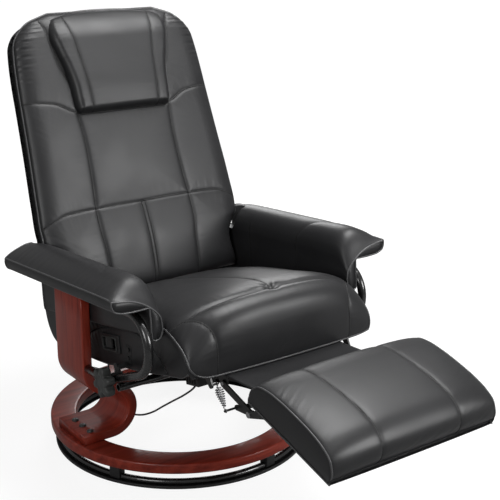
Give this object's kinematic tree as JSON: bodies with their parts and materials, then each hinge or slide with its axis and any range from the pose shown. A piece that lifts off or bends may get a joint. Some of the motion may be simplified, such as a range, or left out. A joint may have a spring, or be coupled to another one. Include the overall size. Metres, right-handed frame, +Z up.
{
  "type": "reclining armchair with footrest",
  "caption": "Swivel recliner on a ring base with bentwood legs, padded leather seat, back and arms, a sliding reclining seat and a fold-out footrest.",
  "frame": {"origin": "on the floor at the middle of the base ring", "axes": "+Z up; the sitter faces -Y, +X is the sitter's left"},
  "size_m": [0.746, 1.2649, 1.0278],
  "materials": {
    "leather": "grained bonded leather, soft sheen",
    "wood": "red mahogany stain, gloss lacquer",
    "plywood": "raw",
    "black_paint": "gloss black enamel",
    "steel": "zinc plated",
    "spring_steel": "bright plated",
    "black_plastic": "matt",
    "grey_plastic": "satin",
    "webbing": "woven",
    "cable_sheath": "satin"
  },
  "bodies": {
    "base": {"floor_tube_ring": "black_paint", "glide_strip": "black_plastic"},
    "turntable": {"wood_ring": "wood", "swivel_shoes": "black_plastic", "shoe_studs": "steel", "leg_right": "wood", "leg_left": "wood", "foot_screws": "steel", "foot_caps": "grey_plastic", "side_tube_right": "black_paint", "side_tube_left": "black_paint", "tube_studs": "steel", "cross_tube": "black_paint", "arm_board_right": "wood", "arm_board_left": "wood", "arm_screws": "steel", "arm_pad_right": "leather", "arm_pad_left": "leather"},
    "seat": {"seat_frame": "plywood", "seat_webbing": "webbing", "seat_cushion": "leather", "side_panel_right": "leather", "side_panel_left": "leather", "seat_slide_bracket_right": "black_paint", "seat_slide_bracket_left": "black_paint", "bracket_screws": "steel", "lever_housing": "black_plastic", "lever_pin": "steel", "release_cable": "cable_sheath", "latch_housing": "black_plastic", "footrest_mounts": "black_paint", "mount_pins": "steel", "footrest_springs": "spring_steel", "spring_brackets": "black_paint", "front_apron": "leather", "back_hinges": "black_paint", "back_pins": "steel"},
    "back": {"back_frame": "black_paint", "back_webbing": "webbing", "back_shell": "leather", "back_cushion": "leather", "head_pillow": "leather"},
    "lever": {"release_lever": "grey_plastic"},
    "knob_right": {"knob_right": "grey_plastic", "knob_stud_right": "steel"},
    "knob_left": {"knob_left": "grey_plastic", "knob_stud_left": "steel"},
    "footrest_arm": {"footrest_arms": "black_paint", "footrest_cross_rod": "black_paint", "elbow_pins": "steel"},
    "footrest_link": {"footrest_links": "black_paint", "link_end_pins": "steel"},
    "footrest": {"footrest_brackets": "black_paint", "footrest_board": "plywood", "footrest_pad": "leather"}
  },
  "joints": [
    {"name": "swivel", "type": "hinge", "parent": "base", "child": "turntable", "pos_m": [0, 0, 0.011], "axis": [0, 0, 1], "continuous": true},
    {"name": "seat_glide", "type": "slide", "parent": "turntable", "child": "seat", "axis": [0, -0.9171, 0.3987], "range_m": [0, 0.078]},
    {"name": "recline", "type": "hinge", "parent": "seat", "child": "back", "pos_m": [0, 0.131, 0.345], "axis": [-1, 0, 0], "range_deg": [0, 25]},
    {"name": "release_lever_pull", "type": "hinge", "parent": "seat", "child": "lever", "pos_m": [-0.248, -0.073, 0.31924], "axis": [0, -0.2028, -0.9792], "range_deg": [0, 30], "stiffness_Nm_per_rad": 0.05},
    {"name": "knob_right_turn", "type": "hinge", "parent": "seat", "child": "knob_right", "pos_m": [-0.324, -0.193, 0.28021], "axis": [-1, 0, 0], "continuous": true},
    {"name": "knob_left_turn", "type": "hinge", "parent": "seat", "child": "knob_left", "pos_m": [0.324, -0.193, 0.28021], "axis": [1, 0, 0], "continuous": true},
    {"name": "footrest_fold", "type": "hinge", "parent": "seat", "child": "footrest_arm", "pos_m": [0, -0.395, 0.303], "axis": [1, 0, 0], "range_deg": [0, 74.2], "deforming": ["footrest_springs", "front_apron"]},
    {"name": "elbow", "type": "hinge", "parent": "footrest_arm", "child": "footrest_link", "pos_m": [0, -0.49813, 0.27093], "axis": [1, 0, 0], "range_deg": [-147.3, 0]},
    {"name": "footrest_tilt", "type": "hinge", "parent": "footrest_link", "child": "footrest", "pos_m": [0, -0.6005, 0.30532], "axis": [1, 0, 0], "range_deg": [0, 147.1]}
  ],
  "couplings": [
    {"joint": "recline", "follows": "seat_glide", "rad_per_m": 5.5934},
    {"joint": "elbow", "follows": "footrest_fold", "ratio": -1.979},
    {"joint": "footrest_tilt", "follows": "footrest_fold", "ratio": 1.976}
  ]
}
